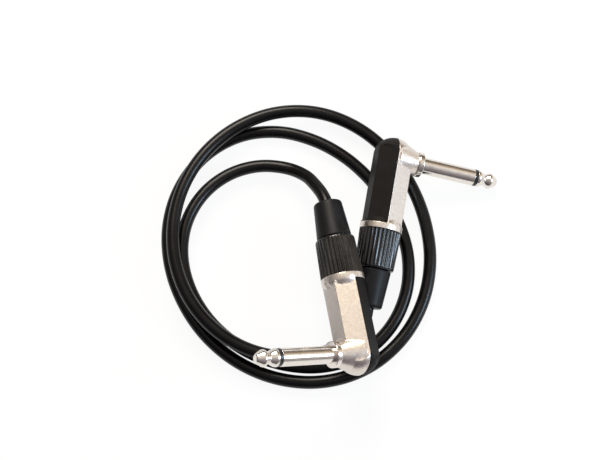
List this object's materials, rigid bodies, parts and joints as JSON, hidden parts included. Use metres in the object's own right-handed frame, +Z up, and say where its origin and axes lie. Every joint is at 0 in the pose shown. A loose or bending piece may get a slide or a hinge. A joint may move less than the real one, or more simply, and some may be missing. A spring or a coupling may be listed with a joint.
{
  "type": "instrument cable",
  "caption": "Short patch cable lying in loose turns, with a right-angle jack plug on each end: hexagonal metal housing, fluted nut and strain-relief boot.",
  "frame": {"origin": "middle of the footprint, on the table on which the coil lies", "axes": "+X to the right in the picture, +Y away from the viewer, +Z up from the table"},
  "size_m": [0.1274, 0.1094, 0.0434],
  "materials": {
    "satin_nickel": "sand-blasted nickel plate, satin",
    "bright_nickel": "polished nickel plate",
    "black_cover": "fine-grained matte moulding",
    "black_nut": "semi-gloss moulding",
    "black_rubber": "smooth matte rubber",
    "black_jacket": "smooth semi-gloss soft PVC",
    "black_ring": "turned black plastic",
    "white_nylon": "moulded nylon",
    "tinned_brass": "tinned brass sheet",
    "clear_core": "polyethylene insulation",
    "copper": "bare copper strands",
    "solder": "bright solder"
  },
  "bodies": {
    "cable_and_plugs": {"cable": "black_jacket", "left_housing": "satin_nickel", "left_sleeve_contact": "bright_nickel", "left_tip_insulator": "black_ring", "left_tip_contact": "bright_nickel", "left_ground_lug": "tinned_brass", "left_terminal_insulator": "black_ring", "left_tip_lug": "tinned_brass", "left_cable_chuck": "white_nylon", "left_jacket_end": "black_jacket", "left_core_insulation": "clear_core", "left_core_conductor": "copper", "left_shield_pigtail": "copper", "left_tip_solder": "solder", "left_ground_solder": "solder", "right_housing": "satin_nickel", "right_sleeve_contact": "bright_nickel", "right_tip_insulator": "black_ring", "right_tip_contact": "bright_nickel", "right_ground_lug": "tinned_brass", "right_terminal_insulator": "black_ring", "right_tip_lug": "tinned_brass", "right_cable_chuck": "white_nylon", "right_jacket_end": "black_jacket", "right_core_insulation": "clear_core", "right_core_conductor": "copper", "right_shield_pigtail": "copper", "right_tip_solder": "solder", "right_ground_solder": "solder"},
    "left_rear_cover": {"left_rear_cover": "black_cover"},
    "left_gland_nut": {"left_gland_nut": "black_nut"},
    "left_boot": {"left_boot": "black_rubber"},
    "right_rear_cover": {"right_rear_cover": "black_cover"},
    "right_gland_nut": {"right_gland_nut": "black_nut"},
    "right_boot": {"right_boot": "black_rubber"}
  },
  "joints": [
    {"name": "left_boot_slide", "type": "slide", "parent": "cable_and_plugs", "child": "left_boot", "axis": [-0.1785, 0.9824, -0.0558], "range_m": [0, 0.0015]},
    {"name": "left_nut_turn", "type": "hinge", "parent": "left_boot", "child": "left_gland_nut", "pos_m": [0.00238, -0.00889, 0.01809], "axis": [-0.1785, 0.9824, -0.0558], "range_deg": [0, 360]},
    {"name": "left_cover_slide", "type": "slide", "parent": "cable_and_plugs", "child": "left_rear_cover", "axis": [0.1785, -0.9824, 0.0558], "range_m": [0, 0.034]},
    {"name": "right_boot_slide", "type": "slide", "parent": "cable_and_plugs", "child": "right_boot", "axis": [-0.1763, -0.9798, -0.0941], "range_m": [0, 0.0015]},
    {"name": "right_nut_turn", "type": "hinge", "parent": "right_boot", "child": "right_gland_nut", "pos_m": [0.01701, -0.00522, 0.01001], "axis": [-0.1763, -0.9798, -0.0941], "range_deg": [0, 360]},
    {"name": "right_cover_slide", "type": "slide", "parent": "cable_and_plugs", "child": "right_rear_cover", "axis": [0.1763, 0.9798, 0.0941], "range_m": [0, 0.034]}
  ],
  "couplings": [
    {"joint": "left_nut_turn", "follows": "left_boot_slide", "rad_per_m": 4188.4},
    {"joint": "right_nut_turn", "follows": "right_boot_slide", "rad_per_m": 4188.4}
  ]
}
